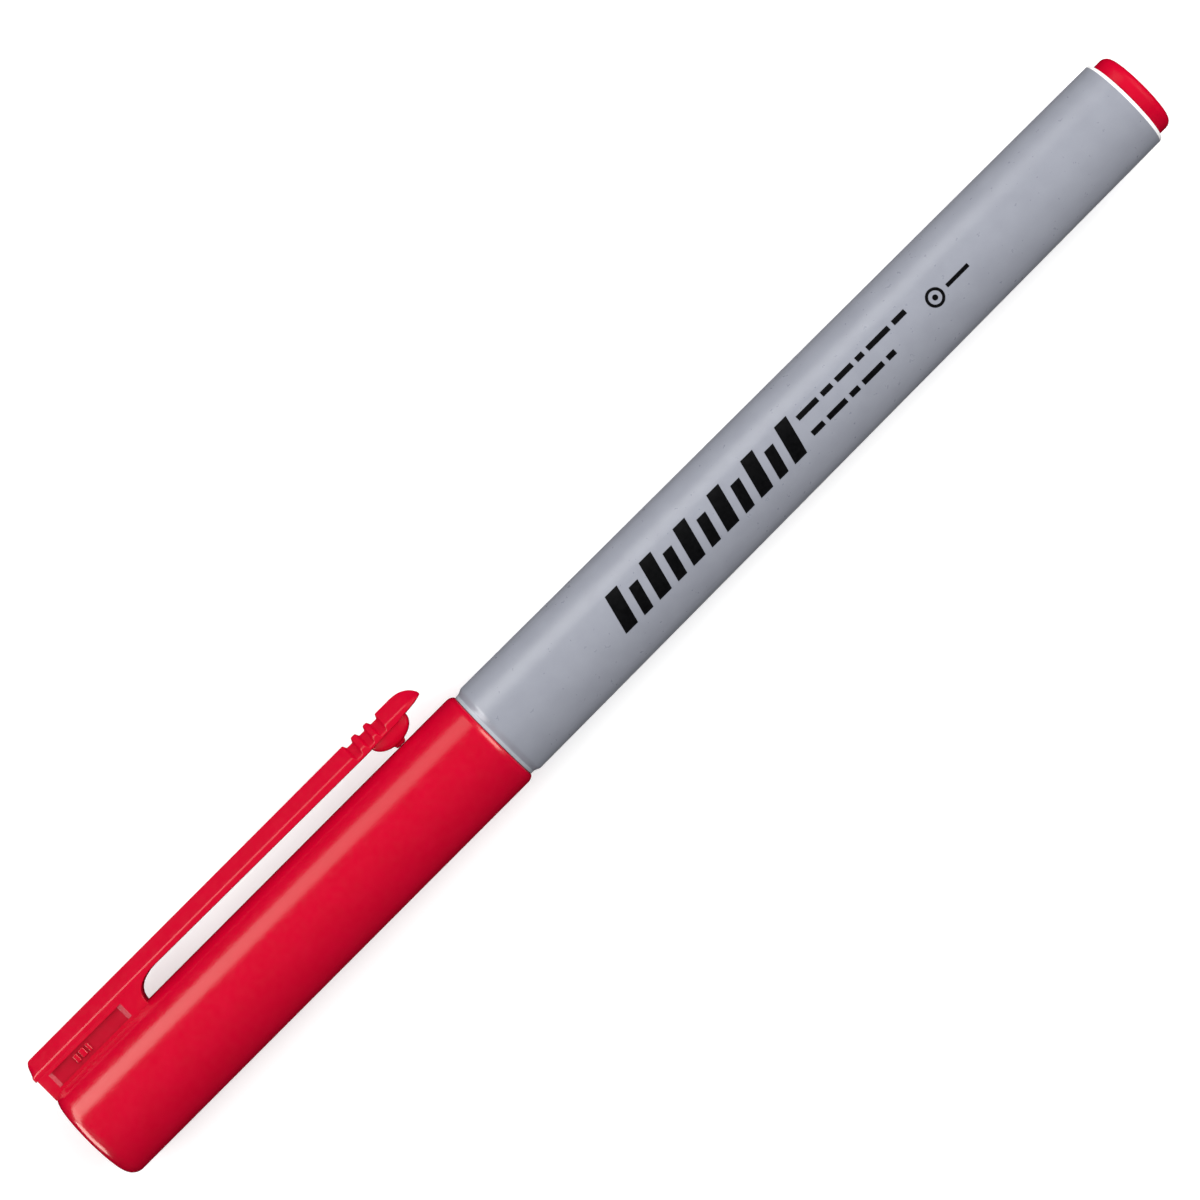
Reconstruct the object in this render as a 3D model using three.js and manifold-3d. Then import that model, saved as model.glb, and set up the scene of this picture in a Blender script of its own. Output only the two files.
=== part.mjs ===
// Fine-point capped marker with a pocket clip.
// Millimetres, +Z up. The pen lies along X: the tail is at x = 0 and the closed
// end of the cap is at +X. The origin is the centre of the end plug's flat face.
import * as THREE from 'three';
import { mergeVertices } from 'three/addons/utils/BufferGeometryUtils.js';
import Module from 'manifold-3d';

// ---------------------------------------------------------------- dimensions
const SEG = 32;              // facets round the large turned pieces
const SEG_S = 16;            // facets round the small turned pieces

const LENGTH = 138.0;        // tail face to closed end of the cap

// barrel
const BARREL_TAIL_X = 1.78;  // back end of the tube
const BARREL_TAIL_R = 4.87;
const BARREL_R = 5.25;       // radius beside the cap mouth
const SHOULDER_X = 84.35;    // start of the small shoulder
const SHOULDER_END_X = 85.08;
const SHOULDER_R = 5.0;
const NECK_R = 4.35;         // neck that the cap slides over
const NECK_END_X = 98.0;
const RING_R = 4.4;          // snap ring on the neck
const RING_X = 90.0;
const BORE_R = 3.95;         // main bore
const NECK_BORE_R = 3.42;
const NECK_BORE_X = 84.6;

// end plug
const PLUG_R = 4.4;
const PLUG_EDGE = 0.85;      // rounded outer edge
const PLUG_SPIGOT_R = 3.88;
const PLUG_SPIGOT_X = 7.0;

// ink system
const RESERVOIR_R = 3.28;
const RESERVOIR_X0 = 12.0;
const RESERVOIR_X1 = 83.8;
const WRAP_IN = 3.36;
const WRAP_OUT = 3.5;
const FEED_R = 0.85;
const FEED_X0 = 76.3;
const FEED_X1 = 111.9;
const SOCKET_R = 0.93;
const SOCKET_X = 76.0;

// nib holder
const SPIGOT_R = 3.34;
const SPIGOT_X = 88.0;
const FLANGE_X0 = 98.1;
const FLANGE_X1 = 99.4;
const FLANGE_R = 4.3;
const LAND_R = 3.6;          // sealing land
const LAND_X = 104.0;
const CONE_X = 114.0;
const CONE_R = 1.5;
const NOSE_X = 116.0;
const NOSE_R = 1.3;

// sleeve and nib
const SLEEVE_R = 0.55;
const SLEEVE_BORE_R = 0.32;
const SLEEVE_X0 = 112.35;
const SLEEVE_X1 = 118.2;
const NIB_R = 0.25;
const NIB_POINT_R = 0.2;
const NIB_X0 = 112.0;
const NIB_X1 = 119.3;

// inner cap
const LINER_R = 4.3;
const LINER_X0 = 99.7;
const LINER_X1 = 121.9;
const LINER_LIP_R = 3.68;
const LINER_LIP_X = 102.6;
const LINER_BORE_R = 3.8;
const LINER_FLOOR_X = 120.7;

// cap
const CAP_X0 = 85.2;         // mouth
const CAP_R = 5.4;
const CAP_BORE_R = 4.47;
const CAP_BORE_X = 122.1;
const CAP_END_BORE_R = 3.9;
const CAP_FLOOR_X = 136.5;
const CAP_END_FILLET = 1.3;
const CAP_MOUTH_FILLET = 0.55;

// clip; these are measured in a frame whose +Z is the clip's outward direction
const CLIP_ROLL = THREE.MathUtils.degToRad(0);  // clip points along -Y, raised by this angle
const CLIP_HALF_W = 1.8;    // half width of the arm
const CLIP_TOP_HALF_W = 0.3; // half width of the flat along its crest
const CLIP_EDGE_Z = 7.75;    // where the side face turns into the bevel
const CLIP_TOP_Z = 9.25;     // crest
const CLIP_UNDER_ROOT_Z = 7.25;
const CLIP_UNDER_TIP_Z = 7.05;
const ROOT_X1 = 137.95;      // root end, level with the cap's end
const ARM_X1 = 122.3;        // arm starts here; the root block ends at ARM_X1 + ARM_GAP
const ARM_GAP = 0.3;
const TIP_X = 87.25;         // nose of the clip
const NOSE_LEN = 2.2;
const WEB_HALF_W = 1.7;     // half width of the root block under the arm
const WEB_X1 = 137.8;
const WEB_IN_Z = 4.7;       // the block is rooted this deep in the cap's wall
const RECESS = { x0: 127.2, x1: 136.6, z0: 5.4, z1: 6.95, depth: 0.2 };
const GROOVES = [[94.95, 95.58], [93.38, 93.95], [91.8, 92.45]];  // floors
const GROOVE_SLOPE = 0.28;   // run of each sloping wall
const GROOVE_DEPTH = 0.43;
const BALL = { x: 91.72, z: 7.2, ax: 2.24, ay: 1.55, az: 1.4 };
const NUB = { r: 0.55, z: 5.55 };

// ------------------------------------------------------------------- helpers
const wasm = await Module();
wasm.setup();

// A closed index mesh with position only.
function welded(geometry) {
  const g = geometry.clone();
  g.deleteAttribute('normal');
  g.deleteAttribute('uv');
  const m = mergeVertices(g, 1e-4);
  const index = m.index.array;
  const kept = [];
  for (let i = 0; i < index.length; i += 3) {
    const [a, b, c] = [index[i], index[i + 1], index[i + 2]];
    if (a !== b && b !== c && c !== a) kept.push(a, b, c);
  }
  m.setIndex(kept);
  return m;
}

function toSolid(geometry) {
  const m = welded(geometry);
  return new wasm.Manifold(new wasm.Mesh({
    numProp: 3,
    vertProperties: new Float32Array(m.attributes.position.array),
    triVerts: new Uint32Array(m.index.array),
  }));
}

function toGeometry(solid) {
  const mesh = solid.getMesh();
  const g = new THREE.BufferGeometry();
  g.setAttribute('position', new THREE.BufferAttribute(new Float32Array(mesh.vertProperties), 3));
  g.setIndex(Array.from(mesh.triVerts));
  g.computeVertexNormals();
  return g;
}

// Turned about X. The profile is a list of [x, radius]: forwards along the
// outside, then back along the inside where there is a bore.
function turned(profile, segments = SEG, closed = false) {
  const points = profile.map(([x, r]) => new THREE.Vector2(r, x));
  if (closed) points.push(points[0].clone());
  const g = new THREE.LatheGeometry(points, segments);
  g.rotateZ(-Math.PI / 2);
  return g;
}

// Outline in X and Z, extruded along Y, centred on y = 0.
function slab(points, width) {
  const shape = new THREE.Shape(points.map(([x, z]) => new THREE.Vector2(x, z)));
  const g = new THREE.ExtrudeGeometry(shape, { depth: width, bevelEnabled: false });
  g.rotateX(Math.PI / 2);
  g.translate(0, width / 2, 0);
  return g;
}

// Outline in X and Y, extruded along Z from z0 to z1.
function plate(points, z0, z1) {
  const shape = new THREE.Shape(points.map(([x, y]) => new THREE.Vector2(x, y)));
  const g = new THREE.ExtrudeGeometry(shape, { depth: z1 - z0, bevelEnabled: false });
  g.translate(0, 0, z0);
  return g;
}

// Section in Y and Z, extruded along X from x0 to x1.
function bar(points, x0, x1) {
  const shape = new THREE.Shape(points.map(([y, z]) => new THREE.Vector2(y, z)));
  const g = new THREE.ExtrudeGeometry(shape, { depth: x1 - x0, bevelEnabled: false });
  // shape x -> Y, shape y -> Z, extrusion -> X
  const m = new THREE.Matrix4().set(
    0, 0, 1, 0,
    1, 0, 0, 0,
    0, 1, 0, 0,
    0, 0, 0, 1,
  );
  g.applyMatrix4(m);
  g.translate(x0, 0, 0);
  return g;
}

function box(x0, x1, y0, y1, z0, z1) {
  const g = new THREE.BoxGeometry(x1 - x0, y1 - y0, z1 - z0);
  g.translate((x0 + x1) / 2, (y0 + y1) / 2, (z0 + z1) / 2);
  return g;
}

// Quarter-round between two profile points, as [x, r] pairs.
function arc(cx, cr, radius, from, to, steps) {
  const out = [];
  for (let i = 0; i <= steps; i++) {
    const a = THREE.MathUtils.degToRad(from + (to - from) * i / steps);
    out.push([cx + radius * Math.cos(a), cr + radius * Math.sin(a)]);
  }
  return out;
}

function material(color, roughness, metalness = 0) {
  return new THREE.MeshStandardMaterial({ color, roughness, metalness });
}

const red = () => material(0xd9002c, 0.35);
const grey = () => material(0xa6a9b4, 0.5);

function part(name, geometry, mat) {
  const mesh = new THREE.Mesh(geometry, mat);
  mesh.name = name;
  return mesh;
}

// ------------------------------------------------------------- turned pieces
const barrel = turned([
  [BARREL_TAIL_X, BARREL_TAIL_R - 0.2],
  [BARREL_TAIL_X + 0.2, BARREL_TAIL_R],
  [SHOULDER_X, BARREL_R],
  [SHOULDER_X + 0.25, SHOULDER_R],
  [SHOULDER_END_X, SHOULDER_R],
  [SHOULDER_END_X, NECK_R],
  [RING_X - 0.7, NECK_R],
  [RING_X - 0.3, RING_R],
  [RING_X + 0.3, RING_R],
  [RING_X + 0.7, NECK_R],
  [NECK_END_X - 0.3, NECK_R],
  [NECK_END_X, NECK_R - 0.3],
  [NECK_END_X, NECK_BORE_R],
  [NECK_BORE_X, NECK_BORE_R],
  [NECK_BORE_X - 0.5, BORE_R],
  [BARREL_TAIL_X, BORE_R],
], SEG, true);

const endPlug = turned([
  [0, 0],
  [0, PLUG_R - PLUG_EDGE],
  ...arc(PLUG_EDGE, PLUG_R - PLUG_EDGE, PLUG_EDGE, 180, 90, 4).slice(1),
  [BARREL_TAIL_X - 0.05, PLUG_R],
  [BARREL_TAIL_X - 0.05, PLUG_SPIGOT_R],
  [PLUG_SPIGOT_X - 0.4, PLUG_SPIGOT_R],
  [PLUG_SPIGOT_X, PLUG_SPIGOT_R - 0.4],
  [PLUG_SPIGOT_X, 3.0],
  [BARREL_TAIL_X + 0.6, 3.0],
  [BARREL_TAIL_X + 0.6, 0],
], SEG);

const reservoir = turned([
  [RESERVOIR_X0, 0],
  [RESERVOIR_X0, RESERVOIR_R],
  [RESERVOIR_X1, RESERVOIR_R],
  [RESERVOIR_X1, SOCKET_R],
  [SOCKET_X, SOCKET_R],
  [SOCKET_X, 0],
], SEG);

const wrap = turned([
  [RESERVOIR_X0, WRAP_OUT],
  [RESERVOIR_X1, WRAP_OUT],
  [RESERVOIR_X1, WRAP_IN],
  [RESERVOIR_X0, WRAP_IN],
], SEG, true);

const feed = turned([
  [FEED_X0, 0],
  [FEED_X0, FEED_R - 0.2],
  [FEED_X0 + 0.4, FEED_R],
  [FEED_X1 - 0.4, FEED_R],
  [FEED_X1, FEED_R - 0.2],
  [FEED_X1, 0],
], SEG_S);

const nibHolder = turned([
  [SPIGOT_X, SPIGOT_R - 0.25],
  [SPIGOT_X + 0.5, SPIGOT_R],
  [FLANGE_X0, SPIGOT_R],
  [FLANGE_X0, FLANGE_R],
  [FLANGE_X1 - 0.2, FLANGE_R],
  [FLANGE_X1, FLANGE_R - 0.2],
  [FLANGE_X1, LAND_R],
  [LAND_X, LAND_R],
  [LAND_X + 0.6, LAND_R - 0.35],
  [CONE_X, CONE_R],
  [CONE_X + 0.1, NOSE_R],
  [NOSE_X - 0.3, NOSE_R],
  [NOSE_X, NOSE_R - 0.3],
  [NOSE_X, SLEEVE_R + 0.08],
  [CONE_X - 1.8, SLEEVE_R + 0.08],
  [CONE_X - 1.9, FEED_R + 0.12],
  [SPIGOT_X, FEED_R + 0.12],
], SEG, true);

const sleeve = turned([
  [SLEEVE_X0, SLEEVE_R],
  [SLEEVE_X1 - 0.45, SLEEVE_R],
  [SLEEVE_X1, SLEEVE_R - 0.13],
  [SLEEVE_X1, SLEEVE_BORE_R],
  [SLEEVE_X0, SLEEVE_BORE_R],
], SEG_S, true);

const nib = turned([
  [NIB_X0, 0],
  [NIB_X0, NIB_R],
  [SLEEVE_X1 + 0.1, NIB_R],
  [NIB_X1 - 0.25, NIB_POINT_R],
  [NIB_X1 - 0.07, NIB_POINT_R * 0.72],
  [NIB_X1, 0],
], SEG_S);

const innerCap = turned([
  [LINER_X0, LINER_R],
  [LINER_X1 - 0.4, LINER_R],
  [LINER_X1, LINER_R - 0.4],
  [LINER_X1, 0],
  [LINER_FLOOR_X, 0],
  [LINER_FLOOR_X, LINER_BORE_R - 0.5],
  [LINER_FLOOR_X - 0.5, LINER_BORE_R],
  [LINER_LIP_X, LINER_BORE_R],
  [LINER_LIP_X - 0.3, LINER_LIP_R],
  [LINER_X0 + 0.3, LINER_LIP_R],
  [LINER_X0, LINER_LIP_R + 0.25],
], SEG, true);
// the profile above touches the axis between two of its points, so its two
// end points are joined by the mouth ring

// ---------------------------------------------------------------- cap + clip
const capShell = turned([
  [CAP_X0, CAP_R - CAP_MOUTH_FILLET],
  ...arc(CAP_X0 + CAP_MOUTH_FILLET, CAP_R - CAP_MOUTH_FILLET, CAP_MOUTH_FILLET, 180, 90, 3).slice(1),
  ...arc(LENGTH - CAP_END_FILLET, CAP_R - CAP_END_FILLET, CAP_END_FILLET, 90, 0, 5),
  [LENGTH, 0],
  [CAP_FLOOR_X, 0],
  [CAP_FLOOR_X, CAP_END_BORE_R - 0.6],
  [CAP_FLOOR_X - 0.6, CAP_END_BORE_R],
  [CAP_BORE_X + 0.2, CAP_END_BORE_R],
  [CAP_BORE_X, CAP_BORE_R],
  [CAP_X0 + 0.2, CAP_BORE_R],
  [CAP_X0, CAP_BORE_R + 0.2],
], SEG, true);

// Section of the clip: flat underside, upright edges, bevels and a narrow crest.
function clipSection(underZ, drop = 0) {
  return [
    [-CLIP_HALF_W, underZ],
    [CLIP_HALF_W, underZ],
    [CLIP_HALF_W, CLIP_EDGE_Z - drop],
    [CLIP_TOP_HALF_W, CLIP_TOP_Z - drop],
    [-CLIP_TOP_HALF_W, CLIP_TOP_Z - drop],
    [-CLIP_HALF_W, CLIP_EDGE_Z - drop],
  ];
}

// Root: the same section over the block, ended by a steep rounded corner.
const ROOT_X0 = ARM_X1 + ARM_GAP;
const rootTop = toSolid(bar(clipSection(CLIP_UNDER_ROOT_Z - 0.1), ROOT_X0, ROOT_X1));
const rootSide = toSolid(slab([
  [ROOT_X0, CLIP_UNDER_ROOT_Z],
  [ROOT_X1 - 0.12, CLIP_UNDER_ROOT_Z],
  [ROOT_X1, CLIP_UNDER_ROOT_Z + 0.15],
  [ROOT_X1, CLIP_EDGE_Z],
  [ROOT_X1 - 0.12, 8.3],
  [ROOT_X1 - 0.34, 8.85],
  [ROOT_X1 - 0.72, CLIP_TOP_Z],
  [ROOT_X0, CLIP_TOP_Z + 0.2],
], 2 * CLIP_HALF_W + 1));
const web = toSolid(slab([
  [125.2, WEB_IN_Z],
  [WEB_X1, WEB_IN_Z],
  [WEB_X1, CLIP_UNDER_ROOT_Z + 0.2],
  [ROOT_X0, CLIP_UNDER_ROOT_Z + 0.2],
  [ROOT_X0, CLIP_UNDER_ROOT_Z - 0.02],
  [122.9, CLIP_UNDER_ROOT_Z - 0.03],
  [123.6, 7.15],
  [124.4, 6.88],
  [124.8, 6.6],
  [125.15, 6.15],
  [125.4, 5.7],
], 2 * WEB_HALF_W));
const recessBoxes = [1, -1].map((side) => {
  const y0 = side * (WEB_HALF_W - RECESS.depth);
  const y1 = side * (WEB_HALF_W + 1);
  return toSolid(box(RECESS.x0, RECESS.x1, Math.min(y0, y1), Math.max(y0, y1), RECESS.z0, RECESS.z1));
});
const cap = toGeometry(
  toSolid(capShell)
    .add(web.subtract(recessBoxes[0]).subtract(recessBoxes[1]))
    .add(rootTop.intersect(rootSide)),
);

// Arm: straight bar, tapering underside, rounded nose, three grooves, ball.
const armBar = toSolid(bar(clipSection(CLIP_UNDER_TIP_Z - 0.3), TIP_X - 0.5, ARM_X1));
const armSide = toSolid(slab([
  [ARM_X1, CLIP_UNDER_ROOT_Z],
  [ARM_X1, CLIP_TOP_Z + 0.2],
  [89.7, CLIP_TOP_Z + 0.2],
  [89.1, 9.24],
  [88.3, 8.97],
  [87.8, 8.64],
  [87.46, 8.22],
  [TIP_X + 0.02, 7.85],
  [TIP_X + 0.02, 7.65],
  [87.6, 7.5],
  [88.3, 7.36],
  [89.3, 7.28],
  [90.5, 7.15],
  [95.0, CLIP_UNDER_TIP_Z],
], 2 * CLIP_HALF_W + 1));
const noseOutline = [[ARM_X1 + 1, -CLIP_HALF_W - 0.5], [ARM_X1 + 1, CLIP_HALF_W + 0.5], [TIP_X + NOSE_LEN, CLIP_HALF_W + 0.5]];
for (let i = 0; i <= 10; i++) {
  const a = Math.PI / 2 + Math.PI * i / 10;
  noseOutline.push([TIP_X + NOSE_LEN + NOSE_LEN * Math.cos(a), CLIP_HALF_W * Math.sin(a)]);
}
noseOutline.push([TIP_X + NOSE_LEN, -CLIP_HALF_W - 0.5]);
let arm = armBar.intersect(armSide).intersect(toSolid(plate(noseOutline, 6, 10)));
for (const [x0, x1] of GROOVES) {
  const wedge = toSolid(slab([
    [x0, CLIP_UNDER_TIP_Z - 0.5], [x1, CLIP_UNDER_TIP_Z - 0.5],
    [x1, CLIP_TOP_Z - GROOVE_DEPTH], [x1 + GROOVE_SLOPE, CLIP_TOP_Z],
    [x1 + GROOVE_SLOPE, CLIP_TOP_Z + 0.3], [x0 - GROOVE_SLOPE, CLIP_TOP_Z + 0.3],
    [x0 - GROOVE_SLOPE, CLIP_TOP_Z], [x0, CLIP_TOP_Z - GROOVE_DEPTH],
  ], 2 * CLIP_HALF_W + 1));
  const keep = toSolid(bar(clipSection(CLIP_UNDER_TIP_Z - 0.8, GROOVE_DEPTH), x0 - 1, x1 + 1));
  arm = arm.subtract(wedge.subtract(keep));
}
const ballGeometry = new THREE.SphereGeometry(1, 20, 14);
ballGeometry.rotateX(Math.PI / 2);
ballGeometry.scale(BALL.ax, BALL.ay, BALL.az);
ballGeometry.translate(BALL.x, 0, BALL.z);
const nubGeometry = new THREE.CylinderGeometry(NUB.r, NUB.r, BALL.z - NUB.z, 12);
nubGeometry.rotateX(Math.PI / 2);
nubGeometry.translate(BALL.x, 0, (BALL.z + NUB.z) / 2);
const ball = toSolid(ballGeometry)
  .intersect(toSolid(box(BALL.x - 4, BALL.x + 4, -3, 3, 5, BALL.z + 0.1)))
  .add(toSolid(nubGeometry));
const pocketClip = toGeometry(arm.add(ball));

// ----------------------------------------------------------------- assembly
const marker = new THREE.Group();
marker.add(part('barrel', barrel, grey()));
marker.add(part('end_plug', endPlug, red()));
marker.add(part('ink_reservoir', reservoir, material(0xe8d8d4, 0.95)));
marker.add(part('reservoir_wrap', wrap, material(0xe9e9ee, 0.3)));
marker.add(part('nib_feed', feed, material(0x7a1420, 0.9)));
marker.add(part('nib_holder', nibHolder, material(0xe4e4e6, 0.45)));
marker.add(part('nib_sleeve', sleeve, material(0xc9cbd0, 0.25, 1)));
marker.add(part('nib', nib, material(0x8a1424, 0.7)));
marker.add(part('inner_cap', innerCap, material(0xf0efec, 0.5)));

const capGroup = new THREE.Group();
capGroup.rotation.x = Math.PI / 2 - CLIP_ROLL;
capGroup.add(part('cap', cap, red()));
capGroup.add(part('pocket_clip', pocketClip, red()));
marker.add(capGroup);

export default marker;
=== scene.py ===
import math
import bpy
import bmesh
import numpy as np
from mathutils import Matrix, Vector


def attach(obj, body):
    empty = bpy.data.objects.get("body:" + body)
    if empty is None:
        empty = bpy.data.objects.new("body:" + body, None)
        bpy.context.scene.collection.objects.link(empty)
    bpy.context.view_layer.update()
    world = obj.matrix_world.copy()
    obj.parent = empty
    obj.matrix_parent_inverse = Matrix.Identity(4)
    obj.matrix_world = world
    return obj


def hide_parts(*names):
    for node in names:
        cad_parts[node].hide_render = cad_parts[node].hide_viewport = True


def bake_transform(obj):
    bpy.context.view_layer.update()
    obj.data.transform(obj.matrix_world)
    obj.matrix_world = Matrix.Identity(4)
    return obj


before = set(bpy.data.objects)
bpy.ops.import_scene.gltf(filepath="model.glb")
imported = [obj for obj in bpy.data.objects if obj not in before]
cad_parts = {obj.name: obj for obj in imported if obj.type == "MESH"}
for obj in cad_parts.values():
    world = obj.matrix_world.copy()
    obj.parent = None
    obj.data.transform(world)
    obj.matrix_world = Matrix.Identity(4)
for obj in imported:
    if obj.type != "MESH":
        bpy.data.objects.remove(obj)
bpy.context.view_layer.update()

MM = 0.001
TAU = 2 * math.pi

# ------------------------------------------------------------------ dimensions (mm, row frame)
TAIL_X, TAIL_R = 1.78, 4.87
BARREL_R, SHOULDER_X, SHOULDER_END, SHOULDER_R = 5.25, 84.35, 85.17, 5.0
NECK_R, NECK_END = 4.35, 98.0
CAP_X0, CAP_X1, CAP_R = 85.2, 138.0, 5.4
CLIP_H, CLIP_B = 1.8, 0.3           # half widths of the arm and of its crest
EDGE_Z, TOP_Z = 7.75, 9.25            # heights of the side edge and of the crest
UNDER_ROOT, UNDER_TIP = 7.25, 7.05
TIP_X, NOSE_L = 87.25, 2.2
ROOT_X1 = 137.95
WEB_H = 1.79
GROOVES = [(94.95, 95.58), (93.38, 93.95), (91.8, 92.45)]
GROOVE_SLOPE, GROOVE_D = 0.28, 0.43
BALL_X, BALL_Z, BALL_AX, BALL_AY, BALL_AZ = 91.77, 7.2, 2.28, 1.6, 1.5
NUB_R, NUB_Z = 0.56, 5.41


# ------------------------------------------------------------------ mesh helpers
def make_object(name, verts, faces, sharp=32):
    """Mesh object from points in mm."""
    mesh = bpy.data.meshes.new(name)
    mesh.from_pydata([(x * MM, y * MM, z * MM) for x, y, z in verts], [], faces)
    mesh.validate()
    bm = bmesh.new()
    bm.from_mesh(mesh)
    bmesh.ops.recalc_face_normals(bm, faces=bm.faces)
    bm.to_mesh(mesh)
    bm.free()
    obj = bpy.data.objects.new(name, mesh)
    bpy.context.scene.collection.objects.link(obj)
    shade(obj, sharp)
    return obj


def shade(obj, sharp=32):
    obj.data.shade_smooth()
    obj.data.set_sharp_from_angle(angle=math.radians(sharp))


def fillet(points, closed, steps=7, step=2.5):
    """points are (x, r, radius). Rounds each corner, keeps a support point beside every arc and splits long runs."""
    n = len(points)
    corners = []
    for i, (x, r, f) in enumerate(points):
        p = Vector((x, r))
        if f <= 0 or (not closed and i in (0, n - 1)):
            corners.append([p])
            continue
        a = Vector(points[i - 1][:2])
        b = Vector(points[(i + 1) % n][:2])
        da, db = (a - p), (b - p)
        la, lb = da.length, db.length
        da.normalize(); db.normalize()
        half = math.acos(max(-1, min(1, da.dot(db)))) / 2
        t = min(f / math.tan(half), la * 0.48, lb * 0.48)
        rad = t * math.tan(half)
        centre = p + (da + db).normalized() * (rad / math.sin(half))
        s, e = p + da * t - centre, p + db * t - centre
        sweep = s.angle_signed(e)
        arc = []
        for k in range(steps + 1):
            w = -sweep * k / steps
            c, sn = math.cos(w), math.sin(w)
            arc.append(centre + Vector((s.x * c - s.y * sn, s.x * sn + s.y * c)))
        corners.append(arc)
    out = []
    count = n if closed else n - 1
    for i in range(n):
        out.extend(corners[i])
        if i >= count:
            break
        a, b = corners[i][-1], corners[(i + 1) % n][0]
        length = (b - a).length
        if length > 0.3:
            guard = min(0.05, length * 0.2)
            inner = [guard / length]
            runs = max(1, int((length - 2 * guard) / step + 0.999))
            inner += [(guard + (length - 2 * guard) * k / runs) / length for k in range(1, runs)]
            inner.append(1 - guard / length)
            out.extend(a.lerp(b, w) for w in inner)
    clean = []
    for p in out:
        if not clean or (p - clean[-1]).length > 1e-4:
            clean.append(p)
    if closed and (clean[0] - clean[-1]).length <= 1e-4:
        clean.pop()
    return [(p.x, p.y) for p in clean]


def turned(name, points, seg=128, closed=True, steps=7, step=2.5, sharp=32):
    """A solid of revolution about X. Points with r = 0 become poles."""
    prof = fillet(points, closed, steps, step)
    verts, faces, rings = [], [], []
    for x, r in prof:
        if r < 1e-5:
            rings.append([len(verts)])
            verts.append((x, 0, 0))
        else:
            rings.append(list(range(len(verts), len(verts) + seg)))
            verts.extend((x, r * math.sin(TAU * k / seg), r * math.cos(TAU * k / seg)) for k in range(seg))
    n = len(rings)
    for i in range(n if closed else n - 1):
        a, b = rings[i], rings[(i + 1) % n]
        if len(a) == 1 and len(b) == 1:
            continue
        for k in range(seg):
            m = (k + 1) % seg
            if len(a) == 1:
                faces.append((a[0], b[k], b[m]))
            elif len(b) == 1:
                faces.append((a[k], b[0], a[m]))
            else:
                faces.append((a[k], b[k], b[m], a[m]))
    return make_object(name, verts, faces, sharp)


def loft(name, sections, sharp=32):
    """Closed rings of equal length joined in order, with flat caps."""
    n = len(sections[0])
    verts = [p for s in sections for p in s]
    faces = []
    for i in range(len(sections) - 1):
        for k in range(n):
            m = (k + 1) % n
            faces.append((i * n + k, i * n + m, (i + 1) * n + m, (i + 1) * n + k))
    for base, ring in ((0, sections[0]), ((len(sections) - 1) * n, sections[-1])):
        c = len(verts)
        verts.append(tuple(np.mean(np.array(ring), axis=0)))
        for k in range(n):
            faces.append((base + k, base + (k + 1) % n, c))
    return make_object(name, verts, faces, sharp)


def prism(name, outline, axis_from, axis_to, place, bevel=0.0, segments=3, sharp=32):
    """Outline of (a, b) pairs pulled along a third axis; place(a, b, c) gives x, y, z."""
    n = len(outline)
    verts = [place(a, b, axis_from) for a, b in outline] + [place(a, b, axis_to) for a, b in outline]
    faces = [tuple(range(n)), tuple(range(2 * n - 1, n - 1, -1))]
    faces += [(k, (k + 1) % n, n + (k + 1) % n, n + k) for k in range(n)]
    obj = make_object(name, verts, faces, sharp)
    if bevel > 0:
        m = obj.modifiers.new("bevel", "BEVEL")
        m.width = bevel * MM
        m.segments = segments
        m.limit_method = "ANGLE"
        m.angle_limit = math.radians(40)
        bake_modifiers(obj)
        shade(obj, sharp)
    return obj


def bake_modifiers(obj):
    dg = bpy.context.evaluated_depsgraph_get()
    dg.update()
    made = bpy.data.meshes.new_from_object(obj.evaluated_get(dg))
    obj.modifiers.clear()
    old = obj.data
    obj.data = made
    made.name = obj.name
    if old.users == 0:
        bpy.data.meshes.remove(old)


def boolean(obj, other, operation, sharp=32):
    m = obj.modifiers.new("cut", "BOOLEAN")
    m.operation = operation
    m.solver = "EXACT"
    m.object = other
    bpy.context.view_layer.update()
    bake_modifiers(obj)
    bpy.data.objects.remove(other)
    bm = bmesh.new()
    bm.from_mesh(obj.data)
    bmesh.ops.remove_doubles(bm, verts=bm.verts, dist=2e-7)
    bmesh.ops.dissolve_degenerate(bm, edges=bm.edges, dist=1e-7)
    bm.to_mesh(obj.data)
    bm.free()
    shade(obj, sharp)
    return obj


def clip_place(x, y, z):
    """From the clip's own frame (z outward from the pen's axis, y across) to the row frame."""
    return (x, -z, y)


# ------------------------------------------------------------------ material helpers
def new_material(name):
    mat = bpy.data.materials.new(name)
    mat.use_nodes = True
    nt = mat.node_tree
    bsdf = nt.nodes["Principled BSDF"]
    coords = nt.nodes.new("ShaderNodeTexCoord")
    return mat, nt, bsdf, coords.outputs["Object"]


def noise_node(nt, coords, scale, detail=3.0, rough=0.55, stretch=None, distortion=0.0):
    if stretch:
        mp = nt.nodes.new("ShaderNodeMapping")
        mp.inputs["Scale"].default_value = stretch
        nt.links.new(coords, mp.inputs["Vector"])
        coords = mp.outputs["Vector"]
    n = nt.nodes.new("ShaderNodeTexNoise")
    n.inputs["Scale"].default_value = scale
    n.inputs["Detail"].default_value = detail
    n.inputs["Roughness"].default_value = rough
    n.inputs["Distortion"].default_value = distortion
    nt.links.new(coords, n.inputs["Vector"])
    return n.outputs["Fac"]


def ramp_node(nt, fac, stops):
    r = nt.nodes.new("ShaderNodeValToRGB")
    r.color_ramp.elements[0].position, r.color_ramp.elements[0].color = stops[0][0], (*stops[0][1], 1)
    r.color_ramp.elements[1].position, r.color_ramp.elements[1].color = stops[-1][0], (*stops[-1][1], 1)
    for pos, col in stops[1:-1]:
        e = r.color_ramp.elements.new(pos)
        e.color = (*col, 1)
    nt.links.new(fac, r.inputs["Fac"])
    return r.outputs["Color"]


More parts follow.
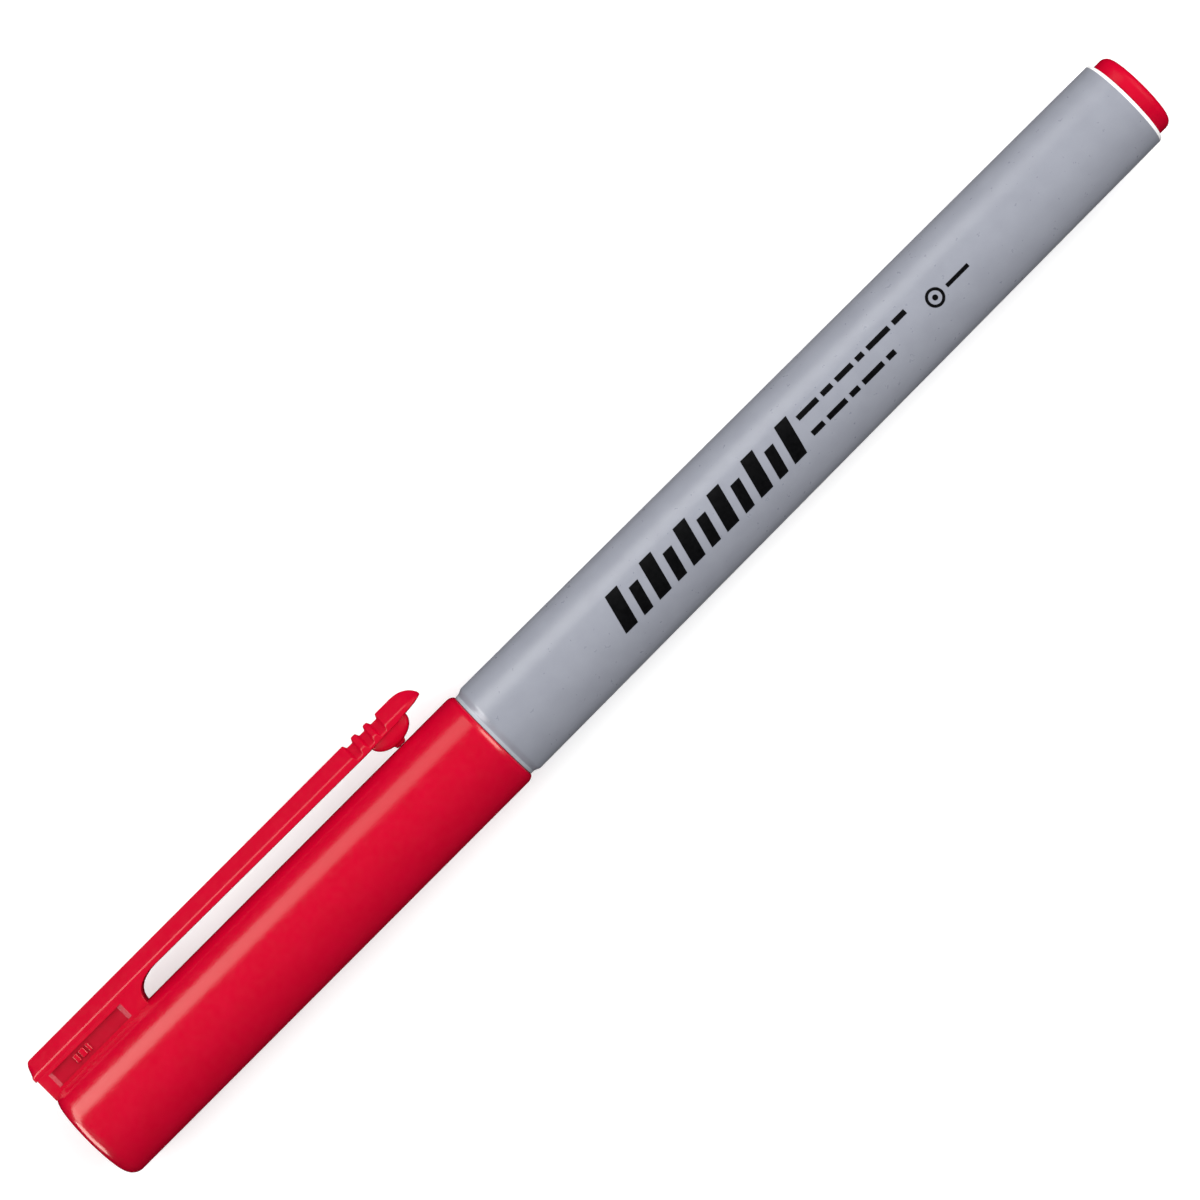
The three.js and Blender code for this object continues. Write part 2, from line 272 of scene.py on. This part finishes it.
def range_node(nt, value, low, high, out_low, out_high):
    m = nt.nodes.new("ShaderNodeMapRange")
    m.inputs["From Min"].default_value, m.inputs["From Max"].default_value = low, high
    m.inputs["To Min"].default_value, m.inputs["To Max"].default_value = out_low, out_high
    nt.links.new(value, m.inputs["Value"])
    return m.outputs["Result"]


def bump_node(nt, height, distance_mm, strength=1.0, before=None):
    b = nt.nodes.new("ShaderNodeBump")
    b.inputs["Strength"].default_value = strength
    b.inputs["Distance"].default_value = distance_mm * MM
    nt.links.new(height, b.inputs["Height"])
    if before is not None:
        nt.links.new(before, b.inputs["Normal"])
    return b.outputs["Normal"]


def plastic(name, colours, rough, peel, grain, ior=1.5, specular=0.5, grain_scale=5200, peel_scale=700, subsurface=0.0):
    """Moulded plastic: slightly uneven pigment, uneven gloss, orange peel and a fine grain."""
    mat, nt, bsdf, co = new_material(name)
    tint = noise_node(nt, co, 420, 4, 0.6)
    nt.links.new(ramp_node(nt, tint, [(0.3, colours[0]), (0.7, colours[1])]), bsdf.inputs["Base Color"])
    gloss = noise_node(nt, co, 1500, 3, 0.6)
    nt.links.new(range_node(nt, gloss, 0.3, 0.7, rough[0], rough[1]), bsdf.inputs["Roughness"])
    soft = bump_node(nt, noise_node(nt, co, peel_scale, 2, 0.5), peel)
    fine = bump_node(nt, noise_node(nt, co, grain_scale, 2, 0.5), grain, before=soft)
    nt.links.new(fine, bsdf.inputs["Normal"])
    bsdf.inputs["IOR"].default_value = ior
    bsdf.inputs["Specular IOR Level"].default_value = specular
    return mat


RED_A, RED_B = (0.505, 0.0, 0.0185), (0.535, 0.0, 0.022)
red = plastic("red_gloss_plastic", (RED_A, RED_B), (0.17, 0.25), 0.004, 0.0005, ior=1.5, specular=0.55, peel_scale=2300)
red.node_tree.nodes["Principled BSDF"].inputs["Specular Tint"].default_value = (1.0, 0.95, 0.78, 1)
grey = plastic("grey_satin_plastic", ((0.262, 0.273, 0.318), (0.286, 0.298, 0.344)), (0.27, 0.35), 0.002, 0.0005,
               ior=1.5, specular=1.0, grain_scale=3600)
# rougher, grainier red for the recess floor; its darker base colour is painted shade
red_recess_dull_shaded = plastic("red_recess_painted_shade", ((0.4, 0.0, 0.0146), (0.43, 0.0, 0.0176)), (0.3, 0.4), 0.004, 0.002, specular=0.22)
# painted highlight: a lighter grey for the neck beside the cap's mouth
neck_painted_highlight = plastic("grey_neck_painted_highlight", ((0.37, 0.405, 0.445), (0.41, 0.445, 0.485)), (0.25, 0.34), 0.003, 0.0012)
# painted highlight: a near-white colour for the tube's tail edge, in place of a glint
bright = plastic("barrel_edge_painted_glint", ((0.86, 0.87, 0.87), (0.95, 0.95, 0.95)), (0.25, 0.35), 0.002, 0.001)
holder = plastic("holder_plastic", ((0.6, 0.6, 0.61), (0.66, 0.66, 0.67)), (0.32, 0.42), 0.003, 0.0015)
liner = plastic("liner_soft_plastic", ((0.66, 0.655, 0.64), (0.72, 0.715, 0.7)), (0.4, 0.5), 0.004, 0.002)
liner.node_tree.nodes["Principled BSDF"].inputs["Subsurface Weight"].default_value = 0.25
liner.node_tree.nodes["Principled BSDF"].inputs["Subsurface Radius"].default_value = (0.0008, 0.0007, 0.0006)

# printed ink: dark, slightly uneven
ink, nt, bsdf, co = new_material("print_ink")
nt.links.new(ramp_node(nt, noise_node(nt, co, 2600, 4, 0.7), [(0.3, (0.001, 0.001, 0.0012)), (0.75, (0.004, 0.004, 0.0046))]),
             bsdf.inputs["Base Color"])
nt.links.new(range_node(nt, noise_node(nt, co, 5000, 2, 0.5), 0.3, 0.7, 0.42, 0.58), bsdf.inputs["Roughness"])
nt.links.new(bump_node(nt, noise_node(nt, co, 6000, 2, 0.5), 0.002), bsdf.inputs["Normal"])
bsdf.inputs["Specular IOR Level"].default_value = 0.15

# drawn steel tube: lines run along the tube
steel, nt, bsdf, co = new_material("drawn_steel")
lines = noise_node(nt, co, 3000, 3, 0.6, stretch=(0.03, 1, 1))
nt.links.new(ramp_node(nt, lines, [(0.3, (0.5, 0.5, 0.52)), (0.7, (0.66, 0.66, 0.68))]), bsdf.inputs["Base Color"])
nt.links.new(range_node(nt, lines, 0.3, 0.7, 0.18, 0.34), bsdf.inputs["Roughness"])
nt.links.new(bump_node(nt, lines, 0.003), bsdf.inputs["Normal"])
bsdf.inputs["Metallic"].default_value = 1.0

# fibre: bundles along the axis, soaked with ink
fibre, nt, bsdf, co = new_material("ink_soaked_fibre")
strands = noise_node(nt, co, 4200, 4, 0.65, stretch=(0.04, 1, 1), distortion=0.4)
nt.links.new(ramp_node(nt, strands, [(0.25, (0.09, 0.002, 0.008)), (0.75, (0.34, 0.02, 0.04))]), bsdf.inputs["Base Color"])
nt.links.new(range_node(nt, strands, 0.3, 0.7, 0.7, 0.95), bsdf.inputs["Roughness"])
nt.links.new(bump_node(nt, strands, 0.03), bsdf.inputs["Normal"])

# film wrap: clear-looking thin film over fibre, with length-wise wrinkles
film, nt, bsdf, co = new_material("wrap_film")
wrinkle = noise_node(nt, co, 900, 3, 0.6, stretch=(0.25, 1, 1), distortion=0.6)
nt.links.new(ramp_node(nt, wrinkle, [(0.3, (0.62, 0.5, 0.52)), (0.7, (0.74, 0.68, 0.7))]), bsdf.inputs["Base Color"])
nt.links.new(range_node(nt, wrinkle, 0.3, 0.7, 0.14, 0.28), bsdf.inputs["Roughness"])
nt.links.new(bump_node(nt, wrinkle, 0.02), bsdf.inputs["Normal"])


def dress(obj, material, body, slot, *nodes):
    obj.data.materials.clear()
    obj.data.materials.append(material)
    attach(obj, body)
    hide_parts(*nodes)
    return obj


# ------------------------------------------------------------------ barrel and what it holds
def barrel_r(x):
    return TAIL_R + (BARREL_R - TAIL_R) * (x - TAIL_X) / (SHOULDER_X - TAIL_X)


barrel = turned("barrel_tube", [
    (TAIL_X, TAIL_R, 0.32),
    (SHOULDER_X - 0.12, BARREL_R, 0.7),
    (SHOULDER_X + 0.36, SHOULDER_R + 0.01, 0.6),
    (SHOULDER_END, SHOULDER_R, 0.08),
    (SHOULDER_END, NECK_R, 0.05),
    (89.3, NECK_R, 0.4),
    (89.72, 4.4, 0.25),
    (90.28, 4.4, 0.25),
    (90.7, NECK_R, 0.4),
    (NECK_END, NECK_R, 0.3),
    (NECK_END, 3.42, 0.08),
    (84.6, 3.42, 0.1),
    (84.1, 3.95, 0.1),
    (TAIL_X, 3.95, 0.1),
], seg=160)
dress(barrel, grey, "barrel", "barrel_grey", "barrel")
# the tail edge of the tube is painted near-white: a painted highlight standing in for the glint on its rounded edge
barrel.data.materials.append(bright)
for poly in barrel.data.polygons:
    c = poly.center
    r = math.hypot(c.y, c.z) / MM
    if c.x / MM < TAIL_X + 0.36 and r > 3.98:
        poly.material_index = 1
# the short bare neck beside the cap is painted a shade lighter: a painted highlight for the pale line beside the cap's
# mouth
barrel.data.materials.append(neck_painted_highlight)
for poly in barrel.data.polygons:
    c = poly.center
    if 84.8 < c.x / MM < 85.3 and math.hypot(c.y, c.z) / MM > 4.85:
        poly.material_index = 2

plug = turned("tail_plug", [
    (0, 0, 0),
    (0, 4.38, 0.85),
    (TAIL_X - 0.05, 4.38, 0.03),
    (TAIL_X - 0.05, 3.88, 0.05),
    (7.0, 3.88, 0.4),
    (7.0, 3.0, 0.1),
    (2.55, 3.0, 0.1),
    (2.55, 0, 0),
], closed=False, steps=12)
dress(plug, red, "barrel", "plug_red", "end_plug")

reservoir = turned("ink_reservoir_rod", [
    (12.0, 0, 0), (12.0, 3.28, 0.15), (83.8, 3.28, 0.15), (83.8, 0.93, 0.05), (76.0, 0.93, 0.05), (76.0, 0, 0),
], closed=False, seg=96)
dress(reservoir, fibre, "barrel", "reservoir_fibre", "ink_reservoir")
wrap = turned("reservoir_film", [
    (12.0, 3.5, 0.02), (83.8, 3.5, 0.02), (83.8, 3.38, 0.02), (12.0, 3.38, 0.02),
], seg=96)
dress(wrap, film, "barrel", "wrap_film", "reservoir_wrap")
feed = turned("nib_feed_wick", [
    (76.3, 0, 0), (76.3, 0.85, 0.3), (111.9, 0.85, 0.3), (111.9, 0, 0),
], closed=False, seg=48)
dress(feed, fibre, "barrel", "nib_fibre", "nib_feed")

nib_holder = turned("nib_holder_body", [
    (88.0, 3.34, 0.35),
    (98.1, 3.34, 0.03),
    (98.1, 4.3, 0.08),
    (99.4, 4.3, 0.15),
    (99.4, 3.6, 0.08),
    (104.0, 3.6, 0.3),
    (104.6, 3.25, 0.5),
    (114.0, 1.5, 0.15),
    (114.15, 1.3, 0.1),
    (116.0, 1.3, 0.3),
    (116.0, 0.63, 0.06),
    (112.2, 0.63, 0.05),
    (112.1, 0.97, 0.05),
    (88.0, 0.97, 0.1),
], seg=128, step=1.5)
dress(nib_holder, holder, "barrel", "holder_plastic", "nib_holder")
sleeve = turned("nib_sleeve_tube", [
    (112.35, 0.55, 0.03), (117.6, 0.55, 0.2), (118.2, 0.4, 0.04), (118.2, 0.31, 0.02), (112.35, 0.31, 0.02),
], seg=64)
dress(sleeve, steel, "barrel", "sleeve_steel", "nib_sleeve")
nib = turned("nib_point", [
    (112.0, 0, 0), (112.0, 0.25, 0.03), (118.3, 0.25, 0.1), (119.28, 0.19, 0.16), (119.3, 0, 0),
], closed=False, seg=48)
dress(nib, fibre, "barrel", "nib_fibre", "nib")

liner_cap = turned("inner_cap_liner", [
    (120.7, 0, 0),
    (120.7, 3.8, 0.6),
    (102.8, 3.8, 0.4),
    (102.3, 3.68, 0.2),
    (100.1, 3.68, 0.2),
    (99.7, 3.95, 0.1),
    (99.7, 4.3, 0.12),
    (121.9, 4.3, 0.5),
    (121.9, 0, 0),
], closed=False, seg=128)
dress(liner_cap, liner, "inner_cap", "liner_plastic", "inner_cap")


# ------------------------------------------------------------------ printed marks on the barrel
def patch(verts, faces, corners, top=0.012, deep=0.03, cell=0.35):
    """A thin conforming solid. corners: four (x, s) points in order, s the height across the barrel in mm seen from above."""
    (x0, s0), (x1, s1), (x2, s2), (x3, s3) = corners
    nu = max(1, int(max(math.dist(corners[0], corners[1]), math.dist(corners[3], corners[2])) / cell + 0.999))
    nv = max(1, int(max(math.dist(corners[0], corners[3]), math.dist(corners[1], corners[2])) / cell + 0.999))
    base = len(verts)
    for layer in (top, -deep):
        for j in range(nv + 1):
            for i in range(nu + 1):
                u, v = i / nu, j / nv
                x = (x0 * (1 - u) + x1 * u) * (1 - v) + (x3 * (1 - u) + x2 * u) * v
                s = (s0 * (1 - u) + s1 * u) * (1 - v) + (s3 * (1 - u) + s2 * u) * v
                r = barrel_r(x)
                a = math.asin(max(-1, min(1, s / r)))
                r += layer
                verts.append((x, -r * math.sin(a), r * math.cos(a)))
    def at(layer, i, j):
        return base + layer * (nu + 1) * (nv + 1) + j * (nu + 1) + i
    for j in range(nv):
        for i in range(nu):
            faces.append((at(0, i, j), at(0, i + 1, j), at(0, i + 1, j + 1), at(0, i, j + 1)))
            faces.append((at(1, i, j), at(1, i, j + 1), at(1, i + 1, j + 1), at(1, i + 1, j)))
    for i in range(nu):
        faces.append((at(0, i, 0), at(1, i, 0), at(1, i + 1, 0), at(0, i + 1, 0)))
        faces.append((at(0, i, nv), at(0, i + 1, nv), at(1, i + 1, nv), at(1, i, nv)))
    for j in range(nv):
        faces.append((at(0, 0, j), at(0, 0, j + 1), at(1, 0, j + 1), at(1, 0, j)))
        faces.append((at(0, nu, j), at(1, nu, j), at(1, nu, j + 1), at(0, nu, j + 1)))


def bar_mark(verts, faces, x_from, x_to, s_low, s_high, lean=0.0):
    """A four-sided mark; lean moves its upper edge along the pen."""
    patch(verts, faces, [(x_from, s_low), (x_to, s_low), (x_to - lean, s_high), (x_from - lean, s_high)])


def disc_mark(verts, faces, x, s, radius, inner=0.0, n=40, top=0.012, deep=0.03):
    base = len(verts)
    rings = [radius, inner] if inner > 0 else [radius]
    for layer in (top, -deep):
        for rr in rings:
            for k in range(n):
                px, ps = x + rr * math.cos(TAU * k / n), s + rr * math.sin(TAU * k / n)
                r = barrel_r(px)
                a = math.asin(ps / r)
                verts.append((px, -(r + layer) * math.sin(a), (r + layer) * math.cos(a)))
    m = len(rings)
    def at(layer, ring, k):
        return base + (layer * m + ring) * n + k % n
    for k in range(n):
        faces.append((at(0, 0, k), at(0, 0, k + 1), at(1, 0, k + 1), at(1, 0, k)))
        if inner > 0:
            faces.append((at(0, 0, k + 1), at(0, 0, k), at(0, 1, k), at(0, 1, k + 1)))
            faces.append((at(1, 0, k), at(1, 0, k + 1), at(1, 1, k + 1), at(1, 1, k)))
            faces.append((at(0, 1, k), at(1, 1, k), at(1, 1, k + 1), at(0, 1, k + 1)))
    if inner <= 0:
        faces.append(tuple(at(0, 0, k) for k in range(n)))
        faces.append(tuple(at(1, 0, n - 1 - k) for k in range(n)))


verts, faces = [], []
# bold band: a regular run of leaning bars, every second one short
x = 69.7
for k in range(11):
    w, high = (1.55, 1.75) if k % 2 == 0 else (1.15, 0.8)
    bar_mark(verts, faces, x, x - w, -2.05, high, 0.26 * (high + 2.05))
    x -= w + 0.86
# two fine dashed rows
for row, (s_mid, length, dashes) in enumerate(((0.78, 14.5, (2.6, 1.3, 2.1, 0.9, 2.8, 1.6)), (-1.18, 11.0, (1.5, 2.4, 1.1, 2.6, 1.0)))):
    x = 44.5
    for w in dashes:
        bar_mark(verts, faces, x, x - w, s_mid - 0.27, s_mid + 0.27, 0.0)
        x -= w + 0.55
# line-width symbol: ring and stroke
disc_mark(verts, faces, 27.6, -0.3, 0.95, 0.66)
disc_mark(verts, faces, 27.6, -0.3, 0.28)
bar_mark(verts, faces, 26.1, 23.3, -0.5, -0.1, 0.0)
marks = make_object("barrel_marks", verts, faces, 40)
marks.data.materials.append(ink)
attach(marks, "barrel")


# ------------------------------------------------------------------ clip arm, nose and root top
def smooth(t):
    t = max(0.0, min(1.0, t))
    return t * t * (3 - 2 * t)


def groove(x):
    d = 0.0
    for a, b in GROOVES:
        d = max(d, GROOVE_D * smooth(min((x - (a - GROOVE_SLOPE)) / GROOVE_SLOPE, ((b + GROOVE_SLOPE) - x) / GROOVE_SLOPE)))
    return d


def along(x, table):
    return float(np.interp(x, [t[0] for t in table], [t[1] for t in table]))


TOP_LINE = [(TIP_X, 7.8), (TIP_X + 0.05, 7.98), (87.46, 8.24), (87.62, 8.45), (87.8, 8.64), (88.05, 8.82), (88.3, 8.97), (88.7, 9.13),
            (89.15, 9.22), (89.6, TOP_Z), (137.1, TOP_Z), (137.3, 9.21), (137.45, 9.08), (137.6, 8.88), (137.72, 8.62), (137.83, 8.3),
            (137.91, 8.0), (ROOT_X1, 7.8)]
UNDER_LINE = [(TIP_X, 7.7), (TIP_X + 0.06, 7.6), (87.6, 7.5), (88.3, 7.36), (89.3, 7.28), (90.5, 7.15), (95.0, UNDER_TIP), (122.3, UNDER_ROOT), (ROOT_X1, UNDER_ROOT)]


def clip_half_width(x):
    if x < TIP_X + NOSE_L:
        u = (TIP_X + NOSE_L - x) / NOSE_L
        return CLIP_H * math.sqrt(max(0.0, 1 - u * u))
    if x > ROOT_X1 - 0.2:
        u = (x - (ROOT_X1 - 0.2)) / 0.2
        return CLIP_H - 0.2 * (1 - math.sqrt(max(0.0, 1 - u * u)))
    return CLIP_H


def clip_section(x, arc=6):
    h = max(clip_half_width(x), 0.03)
    k = h / CLIP_H
    d = groove(x)
    top = along(x, TOP_LINE) - d
    under = along(x, UNDER_LINE)
    edge = min(EDGE_Z - d, top - 0.02)
    edge = max(edge, under + 0.04)
    b = CLIP_B * k
    corners = [(h, under, 0.1), (h, edge, 0.5), (b, top, 0.3), (-b, top, 0.3), (-h, edge, 0.5), (-h, under, 0.1)]
    pts = []
    n = len(corners)
    for i, (cy, cz, f) in enumerate(corners):
        p = Vector((cy, cz))
        a = Vector(corners[i - 1][:2]); c = Vector(corners[(i + 1) % n][:2])
        da, dc = a - p, c - p
        la, lc = da.length, dc.length
        da.normalize(); dc.normalize()
        ang = math.acos(max(-1, min(1, da.dot(dc)))) / 2
        if ang > math.radians(89.5) or la < 1e-5 or lc < 1e-5:
            run = [p.copy() for _ in range(arc + 1)]
        else:
            t = min(f / math.tan(ang), la * 0.45, lc * 0.45)
            rad = t * math.tan(ang)
            centre = p + (da + dc).normalized() * (rad / math.sin(ang))
            s, e = p + da * t - centre, p + dc * t - centre
            sweep = s.angle_signed(e)
            run = []
            for q in range(arc + 1):
                w = -sweep * q / arc
                cs, sn = math.cos(w), math.sin(w)
                run.append(centre + Vector((s.x * cs - s.y * sn, s.x * sn + s.y * cs)))
        pts.append(run)
    splits = [3, 5, 3, 5, 3, 8]
    ring = []
    for i in range(n):
        ring.extend(pts[i])
        a, b2 = pts[i][-1], pts[(i + 1) % n][0]
        for q in range(1, splits[i]):
            ring.append(a.lerp(b2, q / splits[i]))
    return [clip_place(x, p.x, p.y) for p in ring]


stations = [TIP_X + 0.004]
stations += [TIP_X + NOSE_L * (1 - math.cos(math.pi / 2 * k / 26)) for k in range(1, 27)]
x = TIP_X + NOSE_L
while x < 96.1:
    x += 0.06
    stations.append(x)
while x < 121.5:
    x += 0.55
    stations.append(x)
while x < 136.9:
    x += 0.45
    stations.append(x)
stations += [137.1, 137.2, 137.3, 137.38, 137.45, 137.52, 137.6, 137.66, 137.72, 137.76, 137.8, 137.83, 137.87, 137.9, 137.92, 137.94, ROOT_X1]
stations = sorted(set(round(s, 4) for s in stations))
arm = loft("clip_arm", [clip_section(s) for s in stations], 30)

# half-round ball with a small nub, under the nose; its sides are nearly flat
def ball_point(t, a):
    dx, dy, dz = math.sin(t) * math.cos(a), math.sin(t) * math.sin(a), -math.cos(t)
    flat, side = dx * dx + dz * dz, dy ** 6
    r = 1.0
    for _ in range(30):
        r -= (flat * r ** 2 + side * r ** 6 - 1) / (2 * flat * r + 6 * side * r ** 5)
    return BALL_AX * dx * r, BALL_AY * dy * r, BALL_Z + BALL_AZ * dz * r


verts, faces = [], []
rings_n, around = 64, 96
verts.append(clip_place(BALL_X, 0, NUB_Z))
for i in range(1, rings_n + 1):
    t = (i / rings_n) ** 1.5 * math.pi / 2
    for k in range(around):
        dx, dy, z = ball_point(t, TAU * k / around)
        rr = math.hypot(dx, dy)
        w = smooth((NUB_R + 0.1 - rr) / 0.16) if rr < NUB_R + 0.1 else 0.0
        z = z * (1 - w) + min(z, NUB_Z + 0.06 * smooth((rr - NUB_R + 0.2) / 0.2)) * w
        verts.append(clip_place(BALL_X + dx, dy, z))
for k in range(around):
    faces.append((0, 1 + k, 1 + (k + 1) % around))
for i in range(rings_n - 1):
    for k in range(around):
        a, b = 1 + i * around + k, 1 + i * around + (k + 1) % around
        faces.append((a, b, b + around, a + around))
lid = len(verts)
last = 1 + (rings_n - 1) * around
for k in range(around):
    dx, dy, _ = ball_point(math.pi / 2, TAU * k / around)
    verts.append(clip_place(BALL_X + dx, dy, BALL_Z + 0.12))
for k in range(around):
    a, b = last + k, last + (k + 1) % around
    faces.append((a, b, lid + (k + 1) % around, lid + k))
faces.append(tuple(lid + k for k in range(around)))
ball = make_object("clip_ball", verts, faces, 40)
arm = boolean(arm, ball, "UNION", 34)
arm.data.materials.clear()
arm.data.materials.append(red)
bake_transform(arm)
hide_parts("pocket_clip")

# ------------------------------------------------------------------ cap
cap = turned("cap_shell", [
    (136.5, 0, 0),
    (136.5, 3.9, 0.6),
    (122.35, 3.9, 0.1),
    (122.1, 4.47, 0.1),
    (85.4, 4.47, 0.1),
    (CAP_X0, 4.62, 0.06),
    (CAP_X0, CAP_R - 0.45, 0.0),
    *[(CAP_X0 + 0.8 - 0.8 * math.cos(math.radians(a)), CAP_R - 0.45 + 0.45 * math.sin(math.radians(a)), 0.0) for a in range(6, 91, 6)],
    (122.0, CAP_R, 0.0),
    (CAP_X1, CAP_R, 1.3),
    (CAP_X1, 0, 0),
], closed=False, seg=160, steps=12, step=1.2)

web = prism("web", [
    (125.25, 4.7), (137.77, 4.7), (137.77, 7.45), (122.4, 7.45), (122.45, 7.26), (122.9, 7.24), (123.3, 7.2), (123.65, 7.13),
    (124.0, 7.03), (124.4, 6.87), (124.7, 6.68), (124.95, 6.45), (125.15, 6.15), (125.27, 5.8), (125.33, 5.4),
], -WEB_H, WEB_H, lambda a, b, c: clip_place(a, c, b), bevel=0.1, segments=3)
for side in (1, -1):
    lo, hi = WEB_H - 0.3, WEB_H + 0.6
    cutter = prism("cutter", [(127.7, lo * side), (136.26, lo * side), (136.62, WEB_H * side), (136.62, hi * side), (127.2, hi * side), (127.2, WEB_H * side)],
                   5.38, 6.93, lambda a, b, c: clip_place(a, b, c))
    web = boolean(web, cutter, "DIFFERENCE")
    if side == 1:
        for tx, wide in ((133.62, 0.5), (132.85, 0.62), (132.12, 0.36)):
            tick = prism("tick", [(tx - wide / 2, 5.75), (tx + wide / 2, 5.75), (tx + wide / 2, 6.62), (tx - wide / 2, 6.62)],
                         WEB_H - 0.45, WEB_H - 0.08, lambda a, b, c: clip_place(a, c, b), bevel=0.1, segments=4)
            web = boolean(web, tick, "UNION")
cap = boolean(cap, web, "UNION", 24)
dress(cap, red, "cap", "cap_red", "cap")
# the recess floor has a finer, duller moulded texture and a darker red, which is painted shade in the recess
cap.data.materials.append(red_recess_dull_shaded)
for poly in cap.data.polygons:
    c = poly.center * 1000
    if abs(poly.normal.z) > 0.6 and 127.1 < c.x < 136.7 and 5.3 < -c.y < 7.0 and WEB_H - 0.34 < abs(c.z) < WEB_H - 0.1 \
            and abs(abs(c.z) - WEB_H + 0.08) > 0.02:
        poly.material_index = 1

# ------------------------------------------------------------------ floor, light, camera
FLOOR_Z = -CAP_R * MM
bpy.ops.mesh.primitive_plane_add(size=6.0, location=(0.069, 0, FLOOR_Z))
floor = bpy.context.object
floor.name = "floor"
fmat, nt, bsdf, co = new_material("floor_paper")
nt.links.new(ramp_node(nt, noise_node(nt, co, 60, 3, 0.5), [(0.3, (0.9, 0.9, 0.9)), (0.7, (0.93, 0.93, 0.93))]), bsdf.inputs["Base Color"])
bsdf.inputs["Roughness"].default_value = 0.9
bsdf.inputs["Specular IOR Level"].default_value = 0.1
bsdf.inputs["Emission Color"].default_value = (1, 1, 1, 1)
bsdf.inputs["Emission Strength"].default_value = 0.22
floor.data.materials.append(fmat)
floor.visible_diffuse = False
floor.visible_glossy = False

world = bpy.data.worlds.new("studio")
bpy.context.scene.world = world
world.use_nodes = True
wn = world.node_tree
bg = wn.nodes["Background"]
bg.inputs["Color"].default_value = (1, 1, 1, 1)
sky_dir = wn.nodes.new("ShaderNodeTexCoord")
sky_axes = wn.nodes.new("ShaderNodeSeparateXYZ")
wn.links.new(sky_dir.outputs["Generated"], sky_axes.inputs["Vector"])


def sky_math(operation, one, other=None):
    node = wn.nodes.new("ShaderNodeMath")
    node.operation = operation
    for k, value in enumerate((one, other)):
        if isinstance(value, (int, float)):
            node.inputs[k].default_value = value
        elif value is not None:
            wn.links.new(value, node.inputs[k])
    return node.outputs[0]


# an even dome with a soft bright lobe high over each end of the pen; the zenith itself stays plain
sideways = sky_math("ABSOLUTE", sky_axes.outputs["X"])
upwards = sky_math("MAXIMUM", sky_axes.outputs["Z"], 0.0)
lobes = sky_math("POWER", sky_math("MULTIPLY", sky_math("MULTIPLY", sideways, upwards), 2.0), 3.0)
wn.links.new(sky_math("ADD", sky_math("MULTIPLY", lobes, 3.15), 0.31), bg.inputs["Strength"])
cam_bg = wn.nodes.new("ShaderNodeBackground")
cam_bg.inputs["Color"].default_value = (0.95, 0.95, 0.95, 1)
mix = wn.nodes.new("ShaderNodeMixShader")
path = wn.nodes.new("ShaderNodeLightPath")
wn.links.new(path.outputs["Is Camera Ray"], mix.inputs["Fac"])
wn.links.new(bg.outputs["Background"], mix.inputs[1])
wn.links.new(cam_bg.outputs["Background"], mix.inputs[2])
wn.links.new(mix.outputs["Shader"], wn.nodes["World Output"].inputs["Surface"])
world.cycles_visibility.glossy = False


def area(name, target, direction, distance, size_x, size_y, radiance, glossy=True, diffuse=True, x_axis=(1, 0, 0)):
    """A rectangular soft light at target + direction * distance, facing the target; size_x runs along x_axis."""
    light = bpy.data.lights.new(name, "AREA")
    light.shape = "RECTANGLE"
    light.size, light.size_y = size_x, size_y
    light.energy = radiance * math.pi * size_x * size_y
    obj = bpy.data.objects.new(name, light)
    bpy.context.scene.collection.objects.link(obj)
    d = Vector(direction).normalized()
    z = d
    xa = (Vector(x_axis) - z * Vector(x_axis).dot(z)).normalized()
    ya = z.cross(xa)
    m = Matrix((xa, ya, z)).transposed().to_4x4()
    m.translation = Vector(target) + d * distance
    obj.matrix_world = m
    obj.visible_camera = False
    obj.visible_glossy = glossy
    obj.visible_diffuse = diffuse
    return obj


MID = (0.069, 0, 0)


def slanted(deg_from_up, toward):
    """Unit direction leaning from straight up towards +X or -X (1, -1) or the clip's side (-Y, 0)."""
    r = math.radians(deg_from_up)
    return (math.sin(r) * toward, 0, math.cos(r)) if toward else (0, -math.sin(r), math.cos(r))


# one long side strip, brighter towards the cap's closed end, made of abutting panels
edges = [-0.02, 0.05, 0.105, 0.125, 0.145, 0.16, 0.172, 0.20]
for k, level in enumerate((1.5, 1.35, 1.55, 2.2, 2.7, 3.4, 4.4)):
    x0, x1 = edges[k], edges[k + 1]
    area(f"side_strip_{k}", ((x0 + x1) / 2, 0, 0), slanted(60, 0), 0.30, x1 - x0, 0.17, level)
area("side_strip_end", (0.40, 0, 0), slanted(60, 0), 0.30, 0.40, 0.17, 5.0, diffuse=False)
area("side_soft", (0.08, 0, 0), slanted(64, 0), 0.6, 0.5, 0.3, 1.8, glossy=False)
area("tail_soft", (0.004, 0, 0.005), slanted(62, -1), 0.22, 0.16, 0.3, 2.4, glossy=False)
glints = bpy.data.collections.new("glint_receivers")
bpy.context.scene.collection.children.link(glints)
glints.objects.link(cap)
for light in (
    area("mouth_glint", (0.0855, 0, 0.005), slanted(56, -1), 0.35, 0.25, 0.3, 6.5, diffuse=False),
    area("end_glint", (0.1375, 0, 0.005), slanted(84, 1), 0.35, 0.2, 0.34, 9.0, diffuse=False),
):
    light.light_linking.receiver_collection = glints

cam_data = bpy.data.cameras.new("camera")
cam = bpy.data.objects.new("camera", cam_data)
bpy.context.scene.collection.objects.link(cam)
cam_data.sensor_width = 36
cam_data.lens = 165.2
cam_data.clip_start, cam_data.clip_end = 0.01, 10
right = Vector((-0.7063, 0.7079, 0)).normalized()
up = Vector((-0.7079, -0.7063, 0)).normalized()
back = right.cross(up)
m = Matrix((right, up, back)).transposed().to_4x4()
m.translation = Vector((0.0692, -0.001875, 0)) + back * 0.513
cam.matrix_world = m
bpy.context.scene.camera = cam
bpy.context.scene.view_settings.view_transform = "Standard"
bpy.context.scene.view_settings.look = "None"
